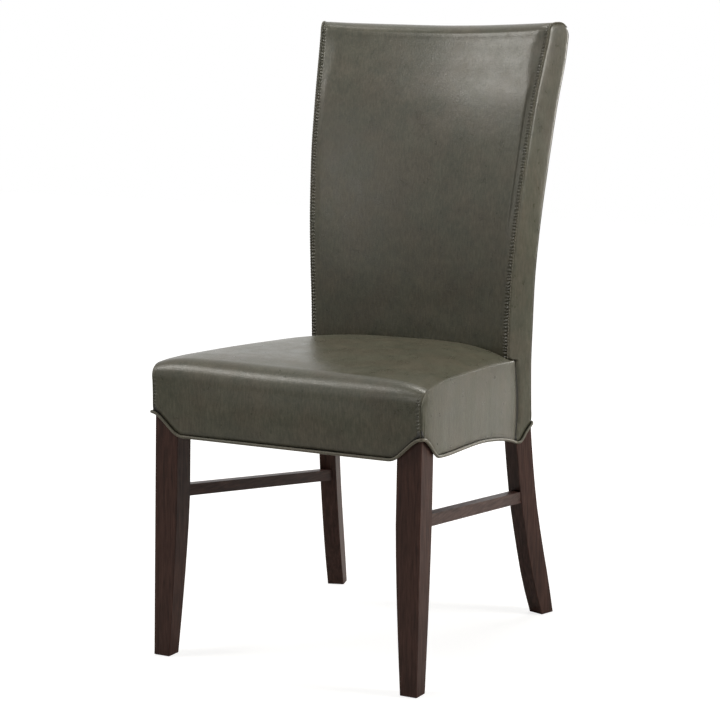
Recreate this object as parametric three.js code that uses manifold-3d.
// Parsons chair: a leather dining chair built on a dark hardwood frame.
// Millimetres, +Z up. The front faces -Y, and "right" is +X, the right side as seen from the front.
// Heights are measured from the floor, depths from the front face of the front feet,
// and the finished group is moved so that the origin lies on the floor under the chair's middle.

import * as THREE from "three";
import { mergeVertices } from "three/addons/utils/BufferGeometryUtils.js";
import Module from "manifold-3d";

const wasm = await Module();
wasm.setup();

// Clearances and materials' thicknesses
const gap = 0.3; // between pieces that touch
const leather = 1.4;
const pipingRadius = 2.8;
const cutOverrun = 30; // how far a cutter runs past what it cuts

// Whole chair
const backHeight = 996; // floor to the top of the back, at its two ends
const seatHeight = 472; // floor to the side seams of the seat, at their highest
const seatFrontHalfWidth = 242.3; // middle of the chair to a front corner seam

// Front legs
const legSideClear = 1.96; // outer face of a front leg inside the face of the side leather
const legWidth = 42.1;
const legDepth = 38.5;
const legFootWidth = 29;
const legFootDepth = 27.5;
const legTaperHeight = 260; // the legs taper below this height
const legRake = 0.0487; // how far the front face leans back, per unit of height
const legTaperPower = 1.35;
const legRingShares = [0, 0.06, 0.14, 0.24, 0.36, 0.5, 0.66, 0.82, 1]; // of the tapered height
const arris = 1; // flat on the long edges of all legs

// Rear posts: leg and back post sawn from one plank, standing in a plane that is toed out
const postToe = THREE.MathUtils.degToRad(17.7);
const postThickness = 28.8;
const postDepth = 36.8;
const postFootInset = 31.4; // outer front edge of a rear foot inside the front corner seam
const postFootHalfSpan = seatFrontHalfWidth - postFootInset;
const postFootSetback = 502.5; // front feet's front face to the same edge
const postSweep = 69.4; // how far forward of its foot the post reaches
const postTopDrop = 2.5; // top of a post below the top of the crest rail
// Front edge of a post: share of the back's height, share of the sweep
const postFrontShares = [
  [0, 0], [0.06, -0.291], [0.13, -0.532], [0.211, -0.759], [0.331, -0.958], [0.401, -0.994],
  [0.483, -1], [0.577, -0.908], [0.67, -0.725], [0.764, -0.471], [0.869, -0.144], [0.933, 0.122],
  [0.97, 0.288], [1, 0.389],
];
// Depth of a post: share of the back's height, share of the post's depth
const postDepthShares = [
  [0, 0.764], [0.06, 0.989], [0.13, 1], [0.483, 1], [0.58, 0.925], [0.869, 0.925],
  [0.933, 0.833], [0.97, 0.68], [1, 0.6],
];
const postRingCount = 26;

// Seat upholstery
const seatFrontProud = 3.5; // corner seams ahead of the legs, at the height of the front hem
const creaseAhead = 2; // the seat's side ends this far ahead of the post's front face
const sideBulge = 5.4; // how far the side panels swell between their ends
const frontBulge = 4;
const seatCrown = 25; // height of the seat's middle over its side seams, at the back
const seatSeamDrop = 24; // fall of the side seams from their highest point to the back
const cornerRound = 20; // rounding from the front to the top, at the seams
const middleRound = 26; // the same in the middle of the seat
// Fall of the side seam: share of the seat's depth, share of the drop
const seamDropShares = [
  [0, 0.25], [0.052, 0.18], [0.11, 0.07], [0.18, 0], [0.384, 0.1375], [0.6, 0.354],
  [0.765, 0.54], [0.934, 0.854], [1, 1],
];
// Crown over the seams: share of the seat's depth, share of the crown
const crownShares = [[0, 0.3], [0.15, 0.34], [0.4, 0.56], [0.6, 0.72], [0.8, 0.88], [1, 1]];
const crownPowerPair = [8, 4.2]; // how boxy the crown is, at the front and at the back
const pipingProud = pipingRadius - leather - gap; // piping's middle line outside the leather
const cornerLift = 6; // side of the back over the seat's rear corner
const seatTail = 1; // clearance between the seat and the front of the back

// Front rail and the levels that hang on it: the seat's webbing above, the hem below
const seatPadHeight = 44; // side seams of the seat over the top of the front rail
const frontRailHeight = 62;
const railAboveHem = 6.5; // lower edge of a rail over the piping's middle line
const deckHeight = seatHeight - seatPadHeight; // top of the front rail
const hemFrontHeight = deckHeight - frontRailHeight - railAboveHem;
const seatFrontSetback = legRake * hemFrontHeight - seatFrontProud; // behind the feet's front faces

// Hem and piping: heights of the piping's middle line, measured from the front hem
const hemCornerRise = 35.5;
const hemSideDrop = 0.5;
const hemRearDrop = 49.5;
const hemPostDrop = 20.5; // at the outer rear corners of the posts
const hemCornerHeight = hemFrontHeight + hemCornerRise;
const hemSideHeight = hemFrontHeight - hemSideDrop;
const hemRearHeight = hemFrontHeight - hemRearDrop;
const hemPostHeight = hemFrontHeight - hemPostDrop;
const hemRampWidth = 56; // from a front corner to where the front hem is level
const hemSideRamp = 58; // from a front corner to where the side hem levels out
const hemRearRamp = 45;
// Side hem between its front ramp and the crease: share of the run, share of its fall
const hemFallShares = [
  [0, 0], [0.1, 0.07], [0.3, 0.15], [0.48, 0.24], [0.63, 0.38], [0.77, 0.56], [0.9, 0.78], [1, 1],
];
// Hem across the side of a post: share of its depth there, share of its rise
const hemPostShares = [[0, 0.03], [0.2, -0.02], [0.34, 0.04], [0.62, 0.5], [1, 1]];

// Back upholstery
// How far the hollow of the back has turned where it meets the posts, at the front and the rear face
const hollowFrontTurn = THREE.MathUtils.degToRad(15.69);
const hollowRearTurn = THREE.MathUtils.degToRad(18.93);
const backRadius = postFootHalfSpan / Math.sin(hollowFrontTurn);
const backRearRadius = postFootHalfSpan / Math.sin(hollowRearTurn);
const backFoamDepth = 21; // from a post's front face to the front seam of the back
const backRearPad = 5; // from a post's rear face to the back of the leather
const hemRearPad = 1.8; // the same behind the legs
const padFadeShares = [0.42, 0.57]; // the pad thickens between these shares of the back's height
const backSideOffset = 3.5; // from a post's outer face to the side leather
const hemSideOffset = 2.1; // the same at the rear edge of the side, near the hem
const hemFadeShares = [0.38, 0.5]; // the side reaches its full offset between these shares of the height
const sideSwell = 6; // how far the front seams bow outwards
const swellForward = 5.5; // and forwards
// Bow of the seams: share of the height over the seat, share of the swell
const swellShares = [
  [0.012, 0], [0.107, 0.1], [0.221, 0.42], [0.354, 0.78], [0.506, 0.95], [0.601, 0.95], [0.715, 0.68],
  [0.848, 0.34], [1, 0],
];
const sidePuff = 2.5; // how far a side panel bulges between its seams
const puffPower = 6;
const puffRim = 16; // the bulge dies out this near the top
const padClear = 0.9; // from the posts to the rear pad
const backCrown = 6; // how far the front stands proud of its seams
const backRearCrown = 2;
const backTopDip = 6.5; // dip of the top edge in the middle
const backDipZone = 190; // the dip fades out over this height
const backCrownPower = 6;
const backFrontRound = 20;
const backRearRound = 25;
const backBottomClear = 2.4; // lower edge of the back's front leather over the webbing
const firstRowLift = 12; // its first full row over the seat's rear corner
const frontWrapShare = 0.5; // of the rear rounding, that the front leather covers
const padInset = 1; // side pads inside the edges of their leather

// Seat frame
const deckSlope = 0.0545; // fall of the rails' tops towards the back, per unit of depth
const railSlimming = 4.8; // a side rail is this much thinner than a post
const railThickness = postThickness - railSlimming;
const railShares = [0, 0.12, 0.3, 0.5, 0.68, 0.84, 1]; // sections of a side rail along its length
const shoulderBite = 5; // bars are made this much too long, then cut to the legs
const frontRailThickness = 22;
const railSetback = 5.5; // from the side leather to a side rail
const foamLipHeight = 8; // front foam over the rail's lower edge
const rearRailSetback = 10; // from a post's front face to the rear rail
const tenonLength = 11;
const tenonShare = 0.45; // of the section it is cut on
const blockSpan = 50; // how far a corner block reaches along a rail
const blockHeight = 34;
const blockDrop = 9; // top of a corner block below the top of the rails
const blockNose = 5; // end of a block that meets a rail
const screwOffsetShare = 0.2; // of the block's height, from its middle to a screw

// Screws in the corner blocks
const screwShank = 4;
const screwHead = 8;
const screwHeadHeight = 2.6;
const screwLength = 38;
const screwGrip = 16; // part of a screw that lies in the rail
const screwHeadRim = 0.5;
const screwSideCount = 12;

// Stretchers between the front and rear legs
const stretcherHeight = 18.7;
const stretcherThickness = 19;
const stretcherFrontDrop = 88; // top of a stretcher below the front hem, at the front leg
const stretcherRearDrop = 87.5; // the same below the rear hem, at the post
const stretcherFrontTop = hemFrontHeight - stretcherFrontDrop;
const stretcherRearTop = hemRearHeight - stretcherRearDrop;
const stretcherFrontInset = 8.5; // outer face of a stretcher from the outer face of a front leg
const stretcherRearInset = 0.6;

// Back frame
const railRadius = postFootHalfSpan / Math.sin(postToe); // the cross rails meet the posts square
const railRecess = 3; // the cross rails' fronts behind the posts' fronts, for the straps
const railFlush = 1; // the cross rails' backs inside the posts' backs
const crestTopDrop = 18; // top of the crest rail below the top of the back
const crestClear = 0.8; // foam over the crest rail
const crestHeight = 56;
const midRailHeight = 50;
const midRailDrop = 263; // middle of the middle rail below the crest rail's top
const lowRailHeight = 60;
const lowRailLift = 42; // middle of the lower rail over the top of the front rail

// Webbing, dust cover and glides
const strapWidth = 50;
const strapThickness = 1.5;
const strapSideClear = 10; // from the outermost straps to the posts
const longStrapShares = [-1, -1 / 3, 1 / 3, 1]; // places between the outermost straps
const backStrapShares = [-1, 0, 1];
const crossStrapCount = 3;
const strapClear = 0.5;
const dustThickness = 1;
const dustDrop = 1.4; // dust cover below the rails' lower edges
const dustInset = 4; // its edges inside the rails' faces, and clear of the legs
const glideRadius = 9;
const glideThickness = 4;
const glideProud = 1.3;
const glideRound = 1;
const glideSideCount = 24;

// How finely curved pieces are divided
const seatFaceCount = 6;
const seatArcCount = 5;
const seatTopCount = 11;
const sidePanelCount = 4;
const sideShares = [0, 0.01, 0.022, 0.04, 0.07, 0.105, 0.145, 0.2, 0.3, 0.42, 0.55, 0.68, 0.8, 0.9, 1];
const backColumnCount = 18;
const frontRowCount = 12;
const rearRowCount = 12;
const rearRowPower = 1.5; // crowds the rear rows towards the top, where the back curves most
const arcShares = [0.25, 0.5, 0.75, 1];
const postStationShares = [0, 0.1, 0.25, 0.42, 0.6, 0.8, 1]; // across a side panel of the back
const padFirstRowIndex = 4; // the side pads start on this row of their leather
const padLastRowIndex = 10; // the rear pad ends above this row
const foamLipRowIndex = 2; // the back foam ends on this row behind the crest
const crossRailCount = 12;
const backStrapCount = 10;
const dustCount = 6;
const pipingSideCount = 6;
const pipingCornerShares = [[1, 0], [0.3, 0.3], [0, 1]]; // round a front corner, in piping radii
const slopeStep = 1;
const columnPassCount = 4; // of the search for where a column of the seat meets the back

// Colours and finishes
const finishes = {
  leather: { color: 0x5f5d54, roughness: 0.42, metalness: 0 },
  wood: { color: 0x2a1a15, roughness: 0.4, metalness: 0 },
  rawWood: { color: 0xb59468, roughness: 0.7, metalness: 0 },
  foam: { color: 0xd9cfae, roughness: 0.95, metalness: 0 },
  wadding: { color: 0xe4e2dc, roughness: 1, metalness: 0 },
  webbing: { color: 0x8a7048, roughness: 0.95, metalness: 0 },
  cloth: { color: 0x1b1b1c, roughness: 1, metalness: 0 },
  steel: { color: 0x9a9a96, roughness: 0.35, metalness: 1 },
  nylon: { color: 0x20201f, roughness: 0.5, metalness: 0 },
};

// Smooth curve through a table of [place, value]
function along(table, place) {
  const last = table.length - 1;
  if (place <= table[0][0]) return table[0][1];
  if (place >= table[last][0]) return table[last][1];
  let i = 0;
  while (table[i + 1][0] < place) i += 1;
  const slope = (k) => {
    const a = Math.max(k - 1, 0);
    const b = Math.min(k + 1, last);
    return (table[b][1] - table[a][1]) / (table[b][0] - table[a][0]);
  };
  const span = table[i + 1][0] - table[i][0];
  const t = (place - table[i][0]) / span;
  const blend = t * t * (3 - 2 * t);
  const lead = t * (1 - t) * (1 - t) * span * slope(i);
  const trail = t * t * (t - 1) * span * slope(i + 1);
  return table[i][1] * (1 - blend) + table[i + 1][1] * blend + lead + trail;
}

const mix = (a, b, t) => a + (b - a) * t;
const steps = (count) => Array.from({ length: count + 1 }, (_, i) => i / count);
const indexes = (count) => Array.from({ length: count }, (_, i) => i);
const ease = (t) => {
  const c = Math.min(Math.max(t, 0), 1);
  return c * c * (3 - 2 * c);
};
const vec = (x, y, z) => new THREE.Vector3(x, y, z);

// Places across a panel from -1 to 1, closer together near the seams
const across = (count) => steps(count).map((c) => Math.sin((c - 0.5) * Math.PI));

// A mesh from points and triangles of point indices
function surface(points, triangles) {
  const geometry = new THREE.BufferGeometry();
  geometry.setAttribute("position", new THREE.Float32BufferAttribute(points.flatMap((p) => p.toArray()), 3));
  geometry.setIndex(triangles);
  return geometry;
}

// Turns a closed mesh the right way round if its faces point inwards
function outward(geometry) {
  const p = geometry.attributes.position;
  const index = geometry.index.array;
  const a = new THREE.Vector3();
  const b = new THREE.Vector3();
  const c = new THREE.Vector3();
  let volume = 0;
  for (let i = 0; i < index.length; i += 3) {
    a.fromBufferAttribute(p, index[i]);
    b.fromBufferAttribute(p, index[i + 1]);
    c.fromBufferAttribute(p, index[i + 2]);
    volume += a.dot(b.cross(c));
  }
  if (volume < 0) {
    for (let i = 0; i < index.length; i += 3) {
      [index[i + 1], index[i + 2]] = [index[i + 2], index[i + 1]];
    }
  }
  return geometry;
}

// Closed body through rings of points; the end rings are capped, seen along the axis named
function loft(rings, capAxis = "x") {
  const size = rings[0].length;
  const triangles = [];
  for (let r = 0; r + 1 < rings.length; r += 1) {
    for (let i = 0; i < size; i += 1) {
      const j = (i + 1) % size;
      const a = r * size + i;
      const b = r * size + j;
      triangles.push(a, b, b + size, a, b + size, a + size);
    }
  }
  const flat = (p) => {
    if (capAxis === "x") return new THREE.Vector2(p.y, p.z);
    return capAxis === "y" ? new THREE.Vector2(p.z, p.x) : new THREE.Vector2(p.x, p.y);
  };
  const cap = (ring, start, reversed) => {
    const outline = ring.map(flat);
    const turn = Math.sign(THREE.ShapeUtils.area(outline));
    for (const corners of THREE.ShapeUtils.triangulateShape(outline, [])) {
      const same = Math.sign(THREE.ShapeUtils.area(corners.map((k) => outline[k]))) === turn;
      const [a, b, c] = corners.map((k) => start + k);
      triangles.push(...(same === reversed ? [a, c, b] : [a, b, c]));
    }
  };
  cap(rings[0], 0, true);
  cap(rings[rings.length - 1], (rings.length - 1) * size, false);
  return outward(surface(rings.flat(), triangles));
}

// Sheet with a thickness: skin(column, row, inset) gives its points
function sheet(skin, columns, rows, thickness, firstInset = 0) {
  const points = [];
  const triangles = [];
  const width = rows.length;
  const layer = columns.length * width;
  for (const inset of [firstInset, firstInset + thickness]) {
    for (const c of columns) for (const r of rows) points.push(skin(c, r, inset));
  }
  const at = (c, r, side) => side * layer + c * width + r;
  const quad = (a, b, c, d) => triangles.push(a, b, c, a, c, d);
  for (let c = 0; c + 1 < columns.length; c += 1) {
    for (let r = 0; r + 1 < width; r += 1) {
      quad(at(c, r, 0), at(c + 1, r, 0), at(c + 1, r + 1, 0), at(c, r + 1, 0));
      quad(at(c, r, 1), at(c, r + 1, 1), at(c + 1, r + 1, 1), at(c + 1, r, 1));
    }
  }
  for (let c = 0; c + 1 < columns.length; c += 1) {
    const top = width - 1;
    quad(at(c, 0, 0), at(c, 0, 1), at(c + 1, 0, 1), at(c + 1, 0, 0));
    quad(at(c, top, 0), at(c + 1, top, 0), at(c + 1, top, 1), at(c, top, 1));
  }
  for (let r = 0; r + 1 < width; r += 1) {
    const end = columns.length - 1;
    quad(at(0, r, 0), at(0, r + 1, 0), at(0, r + 1, 1), at(0, r, 1));
    quad(at(end, r, 0), at(end, r, 1), at(end, r + 1, 1), at(end, r + 1, 0));
  }
  return outward(surface(points, triangles));
}

// Thick body between two skins with matching rows and columns
const between = (outer, inner, columns, rows) => {
  return sheet((c, r, layer) => (layer === 0 ? outer(c, r) : inner(c, r)), columns, rows, 1);
};

// Round body about the Z axis through a list of [radius, height]
function turned(profile, sides) {
  const angles = indexes(sides).map((i) => (i / sides) * 2 * Math.PI);
  return loft(profile.map(([r, z]) => angles.map((a) => vec(r * Math.cos(a), r * Math.sin(a), z))), "z");
}

// Joins and cuts
function solid(geometry) {
  const bare = geometry.clone();
  bare.deleteAttribute("normal");
  bare.deleteAttribute("uv");
  const merged = mergeVertices(bare);
  const triVerts = new Uint32Array(merged.index.array);
  const vertProperties = new Float32Array(merged.attributes.position.array);
  return new wasm.Manifold(new wasm.Mesh({ numProp: 3, vertProperties, triVerts }));
}

function geometryOf(manifold) {
  const mesh = manifold.getMesh();
  const geometry = new THREE.BufferGeometry();
  geometry.setAttribute("position", new THREE.BufferAttribute(new Float32Array(mesh.vertProperties), 3));
  geometry.setIndex(new THREE.BufferAttribute(new Uint32Array(mesh.triVerts), 1));
  return geometry;
}

const cut = (body, cutters) => geometryOf(cutters.reduce((left, c) => left.subtract(solid(c)), solid(body)));
const join = (body, extras) => geometryOf(extras.reduce((sum, e) => sum.add(solid(e)), solid(body)));

// The same piece on the other side of the chair
function mirrored(geometry) {
  const other = geometry.index ? geometry.clone() : mergeVertices(geometry.clone());
  other.deleteAttribute("normal");
  other.scale(-1, 1, 1);
  return outward(other);
}

const chair = new THREE.Group();

function add(name, geometry, finish) {
  const flat = geometry.index ? geometry : mergeVertices(geometry);
  flat.computeVertexNormals();
  const mesh = new THREE.Mesh(flat, new THREE.MeshStandardMaterial(finishes[finish]));
  mesh.name = name;
  chair.add(mesh);
  return mesh;
}

function addPair(name, geometry, finish) {
  add(`${name}_right`, geometry, finish);
  add(`${name}_left`, mirrored(geometry), finish);
}

// The right post's plane: u runs backwards in the plane, n outwards from its outer face
const toeSin = Math.sin(postToe);
const toeCos = Math.cos(postToe);
function toed(u, n, z) {
  const x = postFootHalfSpan + toeSin * u + toeCos * n;
  const y = postFootSetback + toeCos * u - toeSin * n;
  return vec(x, y, z);
}

const postFront = (z) => along(postFrontShares, z / backHeight) * postSweep;
const postDepthAt = (z) => along(postDepthShares, z / backHeight) * postDepth;
const postRear = (z) => postFront(z) + postDepthAt(z);
const crestTop = backHeight - crestTopDrop;
const postTop = crestTop - postTopDrop;

const legFront = (z) => legRake * z;
function legGrowth(z) {
  const left = 1 - Math.min(z / legTaperHeight, 1);
  return 1 - left ** legTaperPower;
}
const legRear = (z) => legFront(z) + mix(legFootDepth, legDepth, legGrowth(z));
const legInner = (z) => legHalfSpan - mix(legFootWidth, legWidth, legGrowth(z));
const deckAt = (y) => deckHeight - deckSlope * y;

// Seat outline, seen from above and from the side
const creaseHeight = seatHeight - seatSeamDrop;
const creaseU = postFront(creaseHeight) - creaseAhead;
const crease = toed(creaseU, backSideOffset, creaseHeight);
const seatRun = crease.y - seatFrontSetback;
const seatShare = (y) => (y - seatFrontSetback) / seatRun;

function seatSide(y) {
  const s = Math.min(Math.max(seatShare(y), 0), 1);
  const swell = 1 - (s + s - 1) ** 6;
  return mix(seatFrontHalfWidth, crease.x, seatShare(y)) + sideBulge * swell;
}

const legHalfSpan = seatSide(legRear(deckHeight)) - legSideClear; // middle of the chair to a leg's outer face
const seatSeam = (y) => seatHeight - seatSeamDrop * along(seamDropShares, seatShare(y));
const seatRise = (y) => seatCrown * along(crownShares, seatShare(y));

// Hem lines
function frontHem(x) {
  const inward = seatFrontHalfWidth - Math.abs(x);
  return mix(hemCornerHeight, hemFrontHeight, ease(inward / hemRampWidth));
}

function hemLevel(y) {
  const share = (y - seatFrontSetback - hemSideRamp) / (seatRun - hemSideRamp);
  return mix(hemSideHeight, hemRearHeight, along(hemFallShares, share));
}

function sideHem(y) {
  return mix(hemCornerHeight, hemLevel(y), ease((y - seatFrontSetback) / hemSideRamp));
}

// Back profile in the plane of a post. Each point has its outward direction, so that layers can be set in.
const padFade = (z) => ease((z / backHeight - padFadeShares[0]) / (padFadeShares[1] - padFadeShares[0]));
const swellAt = (z) => along(swellShares, (z - seatHeight) / (backHeight - seatHeight));
const seamU = (z) => postFront(Math.max(z, seatHeight)) - backFoamDepth - swellForward * swellAt(z);
const rearU = (z) => postRear(z) + mix(hemRearPad, backRearPad, padFade(z));

function postHem(u) {
  const share = (u - creaseU) / (rearU(hemPostHeight) - creaseU);
  return mix(hemRearHeight, hemPostHeight, along(hemPostShares, share));
}

const webbingTop = gap + strapThickness + gap + strapThickness + gap;
const backFrontBottom = deckAt(crease.y) + webbingTop + backBottomClear;
const hemClear = pipingRadius + gap + gap;

// Outward distance of the side leather: share runs from the front seam to the rear edge
function sideAt(z, share) {
  const rear = ease((z / backHeight - hemFadeShares[0]) / (hemFadeShares[1] - hemFadeShares[0]));
  return mix(backSideOffset + sideSwell * swellAt(z), mix(hemSideOffset, backSideOffset, rear), share);
}

const rearHem = (inward) => mix(hemPostHeight, hemRearHeight, ease(inward / hemRearRamp));

// Lower edge of the leather over a stretch of piping
function above(hem, place) {
  const slope = (hem(place + slopeStep) - hem(place - slopeStep)) / (slopeStep + slopeStep);
  return hem(place) + hemClear * Math.hypot(1, slope);
}

function withNormals(points) {
  return points.map((p, i) => {
    const before = points[Math.max(i - 1, 0)];
    const after = points[Math.min(i + 1, points.length - 1)];
    const normal = new THREE.Vector2(before[1] - after[1], after[0] - before[0]).normalize();
    return { u: p[0], z: p[1], nu: normal.x, nz: normal.y };
  });
}

const backColumns = across(backColumnCount);
const quarter = Math.PI / 2;
const frontArcTop = backHeight - backFrontRound;
const rearArcTop = backHeight - backRearRound;
const frontArcU = seamU(frontArcTop) + backFrontRound;
const rearArcU = Math.max(rearU(rearArcTop) - backRearRound, frontArcU + gap);
const onFrontArc = (s) => [
  frontArcU - backFrontRound * Math.cos(s * quarter), frontArcTop + backFrontRound * Math.sin(s * quarter),
];
const onRearArc = (s) => [
  rearArcU + backRearRound * Math.cos(s * quarter), rearArcTop + backRearRound * Math.sin(s * quarter),
];
const frontRows = steps(frontRowCount - 1).map((s) => mix(creaseHeight + firstRowLift, frontArcTop, s));
const frontHeights = [backFrontBottom, ...frontRows];
const rearBottom = hemPostHeight + hemClear;
const rearHeights = steps(rearRowCount).map((s) => mix(rearArcTop, rearBottom, s ** rearRowPower));

// Front leather: up the front, over the top and part way down the rear rounding
function overProfile() {
  const front = frontHeights.map((z) => [seamU(z), z]);
  const over = [1, mix(1, frontWrapShare, 0.5), frontWrapShare].map(onRearArc);
  return withNormals([...front, ...arcShares.map(onFrontArc), ...over]);
}

// Rear leather: from that seam down to the hem
function rearProfile(heights) {
  const start = frontWrapShare - (gap + gap) / backRearRound;
  const rear = heights.map((z) => [rearU(z), z]);
  return withNormals([onRearArc(start), onRearArc(start / 2), ...rear]);
}

// A point of the back: t runs from -1 to 1 between the sides.
// Layers inside the leather end at the distance given as side.
function backPoint(t, p, inset, crowned = 1, side = null) {
  const puff = crowned * (1 - Math.abs(t) ** backCrownPower) * (p.nu < 0 ? backCrown : backRearCrown);
  const u = p.u + p.nu * (puff - inset);
  const dip = backTopDip * (1 - t * t) * ease(1 - (backHeight - p.z) / backDipZone);
  const share = (depth) => Math.min(Math.max((u - seamU(p.z)) / (depth - seamU(p.z)), 0), 1);
  const n = side ?? sideAt(p.z, share(rearU(p.z))) - inset;
  const edge = toed(u, n, p.z - p.nz * inset - dip);
  const radius = mix(backRadius, backRearRadius, share(postRear(p.z)));
  const hollow = Math.sqrt(radius ** 2 - (t * edge.x) ** 2) - Math.sqrt(radius ** 2 - edge.x ** 2);
  return vec(t * edge.x, edge.y + hollow, edge.z);
}

// Section of a leg with a small flat on each corner; to3d places its points
function chamfered(corners, to3d) {
  const ring = [];
  corners.forEach(([x, y], i) => {
    for (const [ox, oy] of [corners[(i + 3) % 4], corners[(i + 1) % 4]]) {
      const reach = arris / Math.hypot(ox - x, oy - y);
      ring.push(to3d(mix(x, ox, reach), mix(y, oy, reach)));
    }
  });
  return ring;
}

// A bar of rectangular section between two points; broad is the direction of its width
function beam(from, to, width, height, broad) {
  const run = to.clone().sub(from).normalize();
  const up = run.clone().cross(broad).normalize();
  const side = up.clone().cross(run).normalize();
  const ring = (centre) => [[-1, -1], [1, -1], [1, 1], [-1, 1]].map(([a, b]) => {
    return centre.clone().addScaledVector(side, a * width / 2).addScaledVector(up, b * height / 2);
  });
  const axis = ["x", "y", "z"].reduce((best, k) => (Math.abs(run[k]) > Math.abs(run[best]) ? k : best));
  return loft([ring(from), ring(to)], axis);
}

// Plain leg and post; grown, they cut the shoulders of the rails that meet them
function legBlank(grown) {
  const top = deckAt(legFront(deckHeight)) - gap;
  const heights = [glideProud, ...legRingShares.slice(1).map((s) => s * legTaperHeight), top];
  return loft(heights.map((z) => chamfered([
    [legHalfSpan + grown, legFront(z) - grown], [legHalfSpan + grown, legRear(z) + grown],
    [legInner(z) - grown, legRear(z) + grown], [legInner(z) - grown, legFront(z) - grown],
  ], (x, y) => vec(x, y, z))), "z");
}

function postBlank(grown) {
  const heights = steps(postRingCount).map((s) => mix(glideProud, postTop, s));
  return loft(heights.map((z) => chamfered([
    [postFront(z) - grown, grown], [postRear(z) + grown, grown],
    [postRear(z) + grown, -postThickness - grown], [postFront(z) - grown, -postThickness - grown],
  ], (u, n) => toed(u, n, z))), "z");
}

// Tenon on the end of a rail, and the mortise that takes it
const frontLegMortises = [];
const postMortises = [];
function tenon(end, run, width, height, broad, mortises) {
  const w = width * tenonShare;
  const h = height * tenonShare;
  const tip = end.clone().addScaledVector(run, tenonLength);
  const root = end.clone().addScaledVector(run, -tenonLength);
  const floor = tip.clone().addScaledVector(run, gap);
  mortises.push(beam(root, floor, w + gap + gap, h + gap + gap, broad));
  return beam(root, tip, w, h, broad);
}

const centreOf = (ring) => ring.reduce((sum, p) => sum.add(p), vec(0, 0, 0)).divideScalar(ring.length);
const level = vec(1, 0, 0);
const upright = vec(0, 0, 1);

// A bar between a front leg and a post: cut to both, with a tenon at each end
function legToPost(rings, width, height) {
  const front = centreOf(rings[0]);
  const rear = centreOf(rings[rings.length - 1]);
  const run = front.clone().sub(rear).normalize();
  const inFront = front.clone().addScaledVector(run, -shoulderBite);
  const inRear = rear.clone().addScaledVector(run, shoulderBite);
  const tenons = [
    tenon(inFront, run, width, height, level, frontLegMortises),
    tenon(inRear, run.clone().negate(), width, height, level, postMortises),
  ];
  return join(cut(loft(rings, "y"), [legBlank(gap), postBlank(gap)]), tenons);
}

// Side stretchers
function stretcher() {
  const firstY = legRear(stretcherFrontTop);
  const outer = toed(postFront(stretcherRearTop), -stretcherRearInset, 0);
  const firstX = legHalfSpan - stretcherFrontInset;
  const lastY = outer.y + toeSin * stretcherThickness;
  const ring = (past, y) => {
    const share = (y + past - firstY) / (outer.y - firstY);
    const x = mix(firstX, outer.x, share);
    const z = mix(stretcherFrontTop, stretcherRearTop, share);
    const inner = x - stretcherThickness;
    const low = z - stretcherHeight;
    return [vec(x, y + past, z), vec(inner, y + past, z), vec(inner, y + past, low), vec(x, y + past, low)];
  };
  const rings = [ring(-shoulderBite, firstY), ring(shoulderBite, lastY)];
  return legToPost(rings, stretcherThickness, stretcherHeight);
}

// Side rails of the seat
const railStart = legRear(deckHeight);
function sideRailX(y, face) {
  const lastU = postFront(creaseHeight);
  const last = toed(lastU, backSideOffset - railSetback - face * railThickness, 0);
  const first = seatSide(railStart) - railSetback - face * railThickness;
  return mix(first, last.x, (y - railStart) / (last.y - railStart));
}

function sideRail() {
  const lastY = toed(postFront(creaseHeight), backSideOffset - railSetback - railThickness, 0).y;
  const rings = railShares.map((s) => {
    const y = mix(railStart - shoulderBite, lastY + shoulderBite, s);
    const [top, bottom] = [deckAt(y) - gap, hemLevel(y) + railAboveHem];
    const [outer, inner] = [sideRailX(y, 0), sideRailX(y, 1)];
    return [vec(outer, y, top), vec(inner, y, top), vec(inner, y, bottom), vec(outer, y, bottom)];
  });
  return legToPost(rings, railThickness, rings[0][0].z - rings[0][3].z);
}

// Front rail, flush with the legs' front faces at its lower edge
const frontRailBottom = hemFrontHeight + railAboveHem;
const frontRailFront = legFront(frontRailBottom) + gap;
const frontRailRear = frontRailFront + frontRailThickness;
const frontRailTop = deckAt(frontRailRear) - gap;

function frontRail() {
  const end = legInner(deckHeight) - gap;
  const section = (x) => [
    vec(x, frontRailFront, frontRailBottom), vec(x, frontRailRear, frontRailBottom),
    vec(x, frontRailRear, frontRailTop), vec(x, frontRailFront, frontRailTop),
  ];
  const middle = centreOf(section(end));
  const height = frontRailTop - frontRailBottom;
  const right = tenon(middle, level, frontRailThickness, height, vec(0, 1, 0), frontLegMortises);
  return join(loft([section(-end), section(end)], "x"), [right, mirrored(right)]);
}

// Rear rail between the posts
const rearRailBottom = hemRearHeight + railAboveHem;
const rearRailU = (z) => postFront(z) + rearRailSetback;
const rearRailCorner = (depth, z) => toed(rearRailU(creaseHeight) + depth, -postThickness - gap, z);
const rearRailFront = rearRailCorner(0, 0).y;
const rearRailRear = rearRailCorner(frontRailThickness, 0).y;
const rearRailTop = deckAt(rearRailRear) - gap;

function rearRail() {
  const rings = [rearRailBottom, rearRailTop].map((z) => {
    const front = rearRailCorner(0, z);
    const rear = rearRailCorner(frontRailThickness, z);
    return [front, rear, vec(-rear.x, rear.y, z), vec(-front.x, front.y, z)];
  });
  const middle = rearRailCorner(frontRailThickness / 2, (rearRailBottom + rearRailTop) / 2);
  const height = rearRailTop - rearRailBottom;
  const right = tenon(middle, level, frontRailThickness, height, vec(0, 1, 0), postMortises);
  return join(loft(rings, "z"), [right, mirrored(right)]);
}

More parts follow.
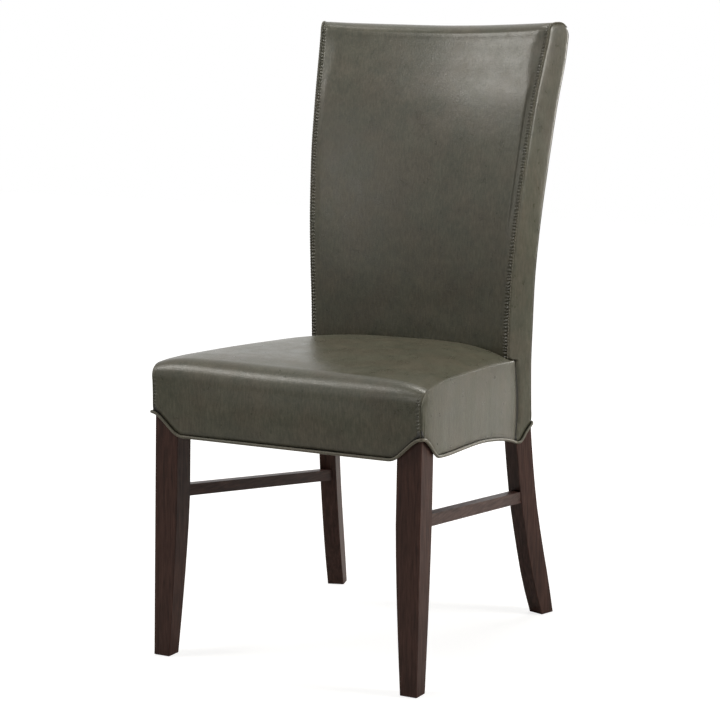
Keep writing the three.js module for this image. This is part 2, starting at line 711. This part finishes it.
// Cross rails of the back: t from -1 to 1 between the posts, depth measured from the posts' front faces
function crossPoint(t, z, depth, sag = 0) {
  const edge = toed(postFront(z) + depth, -postThickness - gap, z);
  const hollow = Math.sqrt(railRadius ** 2 - (t * edge.x) ** 2) - Math.sqrt(railRadius ** 2 - edge.x ** 2);
  const reach = (t * edge.x) / toed(seamU(z), backSideOffset, 0).x;
  return vec(t * edge.x, edge.y + hollow, z - sag * (1 - reach * reach));
}

function crossRail(bottom, top, sag) {
  const rings = steps(crossRailCount).map((s) => {
    const t = 2 * s - 1;
    return [
      crossPoint(t, bottom, railRecess, sag), crossPoint(t, bottom, postDepthAt(bottom) - railFlush, sag),
      crossPoint(t, top, postDepthAt(top) - railFlush, sag), crossPoint(t, top, railRecess, sag),
    ];
  });
  const end = centreOf(rings[rings.length - 1]);
  const before = centreOf(rings[rings.length - 2]);
  const run = end.clone().sub(before).normalize();
  const right = tenon(end, run, postDepthAt(top), top - bottom, vec(0, 1, 0), postMortises);
  return join(loft(rings, "x"), [right, mirrored(right)]);
}

const midRailCentre = crestTop - midRailDrop;
const lowRailCentre = deckHeight + lowRailLift;

// Corner blocks, cut round the legs, each with two screws into the rails
function extrudeUp(outline, bottom, top) {
  return loft([bottom, top].map((z) => outline.map(([x, y]) => vec(x, y, z))), "z");
}

function frontBlock() {
  const legX = legInner(deckHeight) - gap;
  const legY = legRear(deckHeight) + gap;
  const y = frontRailRear + gap;
  const reachY = legY + blockSpan;
  const inner = (at) => sideRailX(at, 1) - gap;
  const outline = [
    [legX - blockSpan, y], [legX, y], [legX, legY], [inner(legY), legY], [inner(reachY), reachY],
    [inner(reachY) - blockNose, reachY], [legX - blockSpan, y + blockNose],
  ];
  const top = deckAt(reachY) - blockDrop;
  return extrudeUp(outline, top - blockHeight, top);
}

function rearBlock() {
  const y = rearRailFront - gap;
  const inner = (at) => sideRailX(at, 1) - gap;
  const nearY = toed(postFront(creaseHeight), -postThickness, 0).y - blockNose;
  const farY = nearY - blockSpan;
  const postX = toed(postFront(creaseHeight), -postThickness, 0).x - blockNose;
  const outline = [
    [postX - blockSpan, y], [postX, y], [postX, nearY], [inner(nearY), nearY], [inner(farY), farY],
    [inner(farY) - blockNose, farY], [postX - blockSpan, y - blockNose],
  ];
  const top = deckAt(y) - blockDrop;
  return extrudeUp(outline, top - blockHeight, top);
}

// A screw along +Z from its tip; grown makes the hole for it, open behind the head
function screwShape(grown) {
  const shank = screwShank / 2 + grown;
  const head = screwHead / 2 + grown;
  const neck = screwLength - screwHeadHeight;
  const end = screwLength + (grown > 0 ? cutOverrun : screwHeadRim);
  const profile = [[shank, -grown], [shank, neck - grown], [head, screwLength - grown], [head, end]];
  return turned(profile, screwSideCount);
}

function placedScrew(face, direction, grown) {
  const screw = screwShape(grown);
  const turn = new THREE.Quaternion().setFromUnitVectors(vec(0, 0, 1), direction.clone().negate());
  screw.applyQuaternion(turn);
  const tip = face.clone().addScaledVector(direction, screwGrip);
  screw.translate(tip.x, tip.y, tip.z);
  return screw;
}

// Glides under the feet
function glide(x, y, grown) {
  const r = glideRadius + grown;
  const top = glideThickness + grown;
  const bottom = grown > 0 ? -cutOverrun : 0;
  const shape = turned([[r - glideRound, bottom], [r, bottom + glideRound], [r, top]], glideSideCount);
  return shape.translate(x, y, 0);
}

// Seat surface: t runs from -1 to 1 between the side seams, from the hem over the front edge to the back
const backFoot = { u: seamU(0), z: creaseHeight, nu: -1, nz: 0 };
const backCorner = backPoint(1, backFoot, 0);
function seatRear(x) {
  const reach = Math.abs(x);
  if (reach < backCorner.x) return backPoint(reach / backCorner.x, backFoot, 0).y - seatTail;
  const share = (reach - backCorner.x) / (crease.x - backCorner.x);
  return mix(backCorner.y, crease.y, share) - seatTail;
}

function columnEnd(t) {
  return indexes(columnPassCount).reduce((y) => seatRear(t * seatSide(y)), crease.y);
}

const faceRows = steps(seatFaceCount);
const arcRows = steps(seatArcCount).slice(1);
const topRows = steps(seatTopCount).slice(1);
const cornerShare = backCorner.x / seatSide(backCorner.y);
const seatColumns = [-1, ...backColumns.map((t) => t * cornerShare), 1];

function seatColumn(t, inset, bottomLift) {
  const round = mix(cornerRound, middleRound, 1 - t * t);
  const boxiness = (y) => mix(...crownPowerPair, ease(seatShare(y)));
  const topAt = (y) => seatSeam(y) + seatRise(y) * (1 - Math.abs(t) ** boxiness(y));
  const startY = seatFrontSetback + round;
  const centreZ = topAt(startY) - round;
  const hem = above(frontHem, t * seatFrontHalfWidth);
  const points = faceRows.map((s) => {
    const z = mix(hem + bottomLift, centreZ, s);
    const belly = frontBulge * (1 - t * t) * Math.sin(Math.PI * (z - hem) / (centreZ - hem));
    return [seatFrontSetback - belly, z];
  });
  for (const s of arcRows) {
    points.push([startY - round * Math.cos(s * quarter), centreZ + round * Math.sin(s * quarter)]);
  }
  const endY = columnEnd(t);
  for (const s of topRows) points.push([mix(startY, endY, s), topAt(mix(startY, endY, s))]);
  return withNormals(points).map((p) => {
    const y = Math.min(p.u - p.nu * inset, endY);
    const side = Math.abs(t) === 1 ? inset : 0;
    return vec(t * (seatSide(y) - side), y, p.z - p.nz * inset);
  });
}

const seatRows = indexes(faceRows.length + arcRows.length + topRows.length);

function seatTopCover() {
  const layers = new Map([0, leather].map((inset) => {
    return [inset, new Map(seatColumns.map((t) => [t, seatColumn(t, inset, 0)]))];
  }));
  return sheet((t, r, inset) => layers.get(inset).get(t)[r], seatColumns, seatRows, leather);
}

// Seat foam on the webbing, with a lip in front of the front rail
function seatFoam() {
  const lipY = frontRailFront - gap;
  const lift = railAboveHem + foamLipHeight;
  const skins = new Map(seatColumns.map((t) => [t, seatColumn(t, leather + gap, lift)]));
  const outer = (t, r) => skins.get(t)[r];
  const inner = (t, r) => {
    const p = outer(t, r);
    const y = Math.max(p.y, lipY);
    const corner = faceRows.length - 1;
    if (r >= corner) return vec(p.x, y, deckAt(y) + webbingTop);
    return vec(p.x, lipY, mix(outer(t, 0).z, deckAt(lipY) + webbingTop, r / corner));
  };
  return between(outer, inner, seatColumns, seatRows);
}

// Side panels of the seat
const sideRows = steps(sidePanelCount);
const sideYs = sideShares.map((s) => mix(seatFrontSetback + leather + gap, crease.y - seatTail, s));

function sideTop(y) {
  const startY = seatFrontSetback + cornerRound;
  const reach = cornerRound - leather - gap - gap;
  if (y >= startY) return seatSeam(y) - leather - gap - gap;
  return seatSeam(startY) - cornerRound + Math.sqrt(Math.max(reach ** 2 - (startY - y) ** 2, 0));
}

function seatSideCover() {
  const skin = (y, r, inset) => {
    return vec(seatSide(y) - inset, y, mix(above(sideHem, y), sideTop(y), r));
  };
  return sheet(skin, sideYs, sideRows, leather);
}

// Leather on the front and rear of the back
function backFrontCover() {
  const profile = overProfile();
  const skin = (t, r, inset) => backPoint(t, profile[r], inset);
  return sheet(skin, backColumns, indexes(profile.length), leather);
}

function backRearCover() {
  const halfWidth = toed(rearU(hemPostHeight), backSideOffset, 0).x;
  const last = rearRowCount + 2;
  const profile = rearProfile(rearHeights);
  const skin = (t, r, inset) => {
    if (r < last) return backPoint(t, profile[r], inset);
    const z = above(rearHem, (1 - Math.abs(t)) * halfWidth);
    return backPoint(t, { u: rearU(z), z, nu: 1, nz: 0 }, inset);
  };
  return sheet(skin, backColumns, indexes(last + 1), leather);
}

// Rows of a side panel, each from the front edge to the rear edge, set in from the back's outline
function sideRowsAt(inset) {
  const setIn = (p) => ({ u: p.u - p.nu * inset, z: p.z - p.nz * inset });
  const blend = (a, b, s) => ({ u: mix(a.u, b.u, s), z: mix(a.z, b.z, s) });
  const lowU = creaseU + seatTail;
  const crown = overProfile().slice(1, frontRowCount + 1 + arcShares.length).map(setIn);
  const front = [
    { u: lowU, z: above(postHem, lowU) }, { u: lowU, z: mix(hemPostHeight, creaseHeight, 1 / 2) },
    { u: lowU, z: creaseHeight + cornerLift }, ...crown,
  ];
  const down = rearHeights.map((z) => [rearU(z), z]);
  const behind = withNormals([...arcShares.map(onRearArc).reverse(), ...down]);
  const [corner, ...climb] = behind.map(setIn).reverse();
  const rear = [corner, blend(corner, climb[0], 1 / 3), blend(corner, climb[0], 2 / 3), ...climb];
  return front.map((p, r) => (c) => blend(p, rear[r], c));
}

// Bulge of a side panel between its seams
function puffAt(z, share) {
  const round = 1 - Math.abs(share + share - 1) ** puffPower;
  const low = ease((z - hemPostHeight) / (creaseHeight - hemPostHeight));
  const rim = Math.min(Math.max((backHeight - leather - gap - z) / puffRim, 0), 1);
  return sidePuff * round * low * (1 - (1 - rim) ** 2);
}

// Leather over the side of a post, from the hem to the top
function backSideCover() {
  const rows = sideRowsAt(leather + gap);
  const skin = (c, r, depth) => {
    const p = rows[r](c);
    const z = r === 0 ? above(postHem, p.u) : p.z;
    return toed(p.u, sideAt(z, c) + puffAt(z, c) - depth, z);
  };
  return sheet(skin, postStationShares, indexes(rows.length), leather);
}

// Pad between a post with its foam and the side leather
function sidePad() {
  const rows = sideRowsAt(leather + gap + padInset).slice(padFirstRowIndex);
  const outer = (c, r) => {
    const p = rows[r](c);
    return toed(p.u, sideAt(p.z, c) + puffAt(p.z, c) - leather - gap, p.z);
  };
  const inner = (c, r) => toed(rows[r](c).u, gap, rows[r](c).z);
  return between(outer, inner, postStationShares, indexes(rows.length));
}

// Foam over the front of the back frame, its top and a lip behind it
function backFoam() {
  const lip = rearHeights.slice(0, foamLipRowIndex + 1);
  const skin = [...overProfile(), ...rearProfile(lip)];
  const crest = crestTop + crestClear;
  const top = frontRowCount;
  const behind = top + arcShares.length;
  const last = skin.length - 1;
  const core = skin.map((p, r) => {
    const front = mix(backFrontBottom, crest, r / top);
    if (r <= top) return [postFront(front) - gap - gap, front];
    const z = r <= behind ? crest : mix(crest, lip[foamLipRowIndex], (r - behind) / (last - behind));
    const share = Math.min((r - top) / (behind - top), 1);
    return [mix(postFront(z) - gap - gap, postRear(z) + gap, share), z];
  }).map(([u, z]) => ({ u, z, nu: 0, nz: 0 }));
  const outer = (t, r) => backPoint(t, skin[r], leather + gap, 1, 0);
  const inner = (t, r) => backPoint(t, core[r], 0, 0, 0);
  return between(outer, inner, backColumns, indexes(skin.length));
}

// Pad behind the posts and cross rails
function rearPad() {
  const top = rearHeights[foamLipRowIndex] - gap;
  const heights = [top, ...rearHeights.slice(foamLipRowIndex + 1, padLastRowIndex)];
  const outer = (t, z) => backPoint(t, { u: rearU(z), z, nu: 1, nz: 0 }, leather + gap, 1, 0);
  const inner = (t, z) => backPoint(t, { u: postRear(z) + padClear, z, nu: 0, nz: 0 }, 0, 0, 0);
  return between(outer, inner, backColumns, heights);
}

// Piping: one closed run along the hem, with a point wherever the leather's edge has one
function pipingPath() {
  const points = [];
  const frontY = seatFrontSetback - pipingProud;
  for (const t of seatColumns.filter((place) => place > -gap / seatFrontHalfWidth && place < 1)) {
    points.push(vec(t * seatFrontHalfWidth, frontY, frontHem(t * seatFrontHalfWidth)));
  }
  const tip = vec(seatSide(seatFrontSetback) + pipingProud, frontY, hemCornerHeight);
  for (const [back, side] of pipingCornerShares) {
    points.push(vec(tip.x - pipingRadius * back, tip.y + pipingRadius * side, tip.z));
  }
  for (const y of sideYs.slice(1, -1)) points.push(vec(seatSide(y) + pipingProud, y, sideHem(y)));
  const lastU = rearU(hemPostHeight);
  for (const s of postStationShares.slice(0, -1)) {
    const u = mix(creaseU + seatTail, lastU, s);
    points.push(toed(u, sideAt(hemPostHeight, s) + pipingProud, postHem(u)));
  }
  const halfWidth = toed(lastU, backSideOffset, 0).x;
  points.push(toed(lastU + pipingProud, hemSideOffset + pipingProud, hemPostHeight));
  for (const t of backColumns.filter((place) => place < gap / halfWidth).map((place) => -place).slice(1)) {
    const z = rearHem((1 - t) * halfWidth);
    points.push(backPoint(t, { u: rearU(z) + pipingProud, z, nu: 1, nz: 0 }, 0));
  }
  const left = points.slice(1, -1).reverse().map((p) => vec(-p.x, p.y, p.z));
  return [...points, ...left];
}

function piping() {
  const path = pipingPath();
  const count = path.length;
  const points = [];
  const triangles = [];
  path.forEach((p, i) => {
    const run = path[(i + 1) % count].clone().sub(path[(i + count - 1) % count]).normalize();
    const side = run.clone().cross(upright).normalize();
    const up = side.clone().cross(run).normalize();
    for (let k = 0; k < pipingSideCount; k += 1) {
      const a = (k / pipingSideCount) * 2 * Math.PI;
      const offset = side.clone().multiplyScalar(Math.cos(a)).addScaledVector(up, Math.sin(a));
      points.push(p.clone().addScaledVector(offset, pipingRadius));
      const k2 = (k + 1) % pipingSideCount;
      const here = i * pipingSideCount;
      const next = ((i + 1) % count) * pipingSideCount;
      triangles.push(here + k, here + k2, next + k2, here + k, next + k2, next + k);
    }
  });
  return outward(surface(points, triangles));
}

// Webbing and dust cover
const strapReach = rearRailCorner(0, 0).x - strapSideClear - strapWidth / 2;
function longStrap(x) {
  const lift = gap + strapThickness + gap + strapThickness / 2;
  const at = (y) => vec(x, y, deckAt(y) + lift);
  const from = (frontRailFront + frontRailRear) / 2;
  const to = (rearRailFront + rearRailRear) / 2;
  return beam(at(from), at(to), strapWidth, strapThickness, level);
}

function crossStrap(share) {
  const y = mix(frontRailRear, rearRailFront, share);
  const reach = sideRailX(y, 0) - railSetback;
  const z = deckAt(y) + gap + strapThickness / 2;
  const half = strapWidth / 2;
  const lift = strapThickness / 2;
  const ring = (x) => [[-1, -1], [1, -1], [1, 1], [-1, 1]].map(([a, b]) => {
    return vec(x, y + a * half, z - deckSlope * a * half + b * lift);
  });
  return loft([ring(-reach), ring(reach)], "x");
}

function backStrap(place) {
  const bottom = lowRailCentre;
  const top = crestTop - crestHeight / 2;
  const rings = steps(backStrapCount).map((s) => {
    const z = mix(bottom, top, s);
    const corner = (x, depth) => {
      const edge = toed(postFront(z), -postThickness, z).x;
      return crossPoint(x / edge, z, railRecess - strapClear - depth);
    };
    const [near, far] = [place - strapWidth / 2, place + strapWidth / 2];
    return [corner(near, 0), corner(far, 0), corner(far, strapThickness), corner(near, strapThickness)];
  });
  return loft(rings, "z");
}

function dustCover() {
  const legEnd = legRear(deckHeight) + gap + gap;
  const postStart = toed(postFront(creaseHeight), 0, 0).y - dustInset;
  const narrow = legInner(deckHeight) - dustInset;
  const tail = rearRailCorner(0, 0).x - dustInset;
  const inside = steps(dustCount).slice(1, -1).map((s) => mix(legEnd, postStart, s));
  const ys = [
    frontRailFront + dustInset, legEnd, legEnd + dustInset, ...inside, postStart,
    postStart + dustInset, rearRailRear - dustInset,
  ];
  const reach = (y) => {
    if (y <= legEnd) return narrow;
    return y > postStart ? tail : sideRailX(y, 0) - dustInset;
  };
  const lift = railAboveHem - dustDrop;
  const skin = (t, r, depth) => vec(t * reach(ys[r]), ys[r], hemLevel(ys[r]) + lift - depth);
  return sheet(skin, [-1, 0, 1], indexes(ys.length), dustThickness);
}

// The rails come first, because each leaves its mortises for the legs
const half = (size) => size / 2;
const stretcherBody = stretcher();
const sideRailBody = sideRail();
const frontRailBody = frontRail();
const rearRailBody = rearRail();
const crestRail = crossRail(crestTop - crestHeight, crestTop, backTopDip);
const middleRail = crossRail(midRailCentre - half(midRailHeight), midRailCentre + half(midRailHeight), 0);
const lowerRail = crossRail(lowRailCentre - half(lowRailHeight), lowRailCentre + half(lowRailHeight), 0);

const footX = legHalfSpan - half(legFootWidth);
const footY = half(legFootDepth);
const postFoot = toed(half(postDepthAt(0)), -half(postThickness), 0);

addPair("front_leg", cut(legBlank(0), [...frontLegMortises, glide(footX, footY, gap)]), "wood");
addPair("rear_post", cut(postBlank(0), [...postMortises, glide(postFoot.x, postFoot.y, gap)]), "wood");
addPair("stretcher", stretcherBody, "wood");

// Screws: where each enters its rail, and the direction it is driven in
const blockMiddle = (top) => top - half(blockHeight);
const frontBlockTop = deckAt(legRear(deckHeight) + gap + blockSpan) - blockDrop;
const rearBlockTop = deckAt(rearRailFront - gap) - blockDrop;
const screwOffset = blockHeight * screwOffsetShare;
const screwInto = {
  front_side: () => {
    const y = legRear(deckHeight) + half(blockSpan);
    return [vec(sideRailX(y, 1), y, blockMiddle(frontBlockTop) + screwOffset), vec(1, 0, 0)];
  },
  front_cross: () => {
    const x = legInner(deckHeight) - half(blockSpan);
    return [vec(x, frontRailRear, blockMiddle(frontBlockTop) - screwOffset), vec(0, -1, 0)];
  },
  rear_side: () => {
    const y = rearRailFront - half(blockSpan);
    return [vec(sideRailX(y, 1), y, blockMiddle(rearBlockTop) + screwOffset), vec(1, 0, 0)];
  },
  rear_cross: () => {
    const x = rearRailCorner(0, 0).x - half(blockSpan);
    return [vec(x, rearRailFront, blockMiddle(rearBlockTop) - screwOffset), vec(0, 1, 0)];
  },
};
const hole = (name) => placedScrew(...screwInto[name](), gap);
const bothSides = (geometry) => [geometry, mirrored(geometry)];

addPair("side_rail", cut(sideRailBody, [hole("front_side"), hole("rear_side")]), "rawWood");
add("front_rail", cut(frontRailBody, bothSides(hole("front_cross"))), "rawWood");
add("rear_rail", cut(rearRailBody, bothSides(hole("rear_cross"))), "rawWood");
addPair("corner_block_front", cut(frontBlock(), [hole("front_side"), hole("front_cross")]), "rawWood");
addPair("corner_block_rear", cut(rearBlock(), [hole("rear_side"), hole("rear_cross")]), "rawWood");
for (const [name, place] of Object.entries(screwInto)) {
  addPair(`block_screw_${name}`, placedScrew(...place(), 0), "steel");
}
add("crest_rail", crestRail, "rawWood");
add("back_middle_rail", middleRail, "rawWood");
add("back_lower_rail", lowerRail, "rawWood");

addPair("glide_front", glide(footX, footY, 0), "nylon");
addPair("glide_rear", glide(postFoot.x, postFoot.y, 0), "nylon");

for (const i of indexes(crossStrapCount)) {
  add(`seat_strap_cross_${i + 1}`, crossStrap((i + 1) / (crossStrapCount + 1)), "webbing");
}
longStrapShares.forEach((share, i) => {
  add(`seat_strap_long_${i + 1}`, longStrap(share * strapReach), "webbing");
});
backStrapShares.forEach((share, i) => {
  add(`back_strap_${i + 1}`, backStrap(share * strapReach), "webbing");
});

add("seat_foam", seatFoam(), "foam");
add("back_foam", backFoam(), "foam");
add("back_rear_pad", rearPad(), "wadding");
addPair("side_pad", sidePad(), "wadding");
add("seat_cover", seatTopCover(), "leather");
addPair("seat_side_cover", seatSideCover(), "leather");
add("back_front_cover", backFrontCover(), "leather");
addPair("back_side_cover", backSideCover(), "leather");
add("back_rear_cover", backRearCover(), "leather");
add("hem_piping", piping(), "leather");
add("dust_cover", dustCover(), "cloth");

// Origin on the floor under the middle of the chair
const box = new THREE.Box3().setFromObject(chair);
chair.position.y = -(box.min.y + box.max.y) / 2;

export default chair;
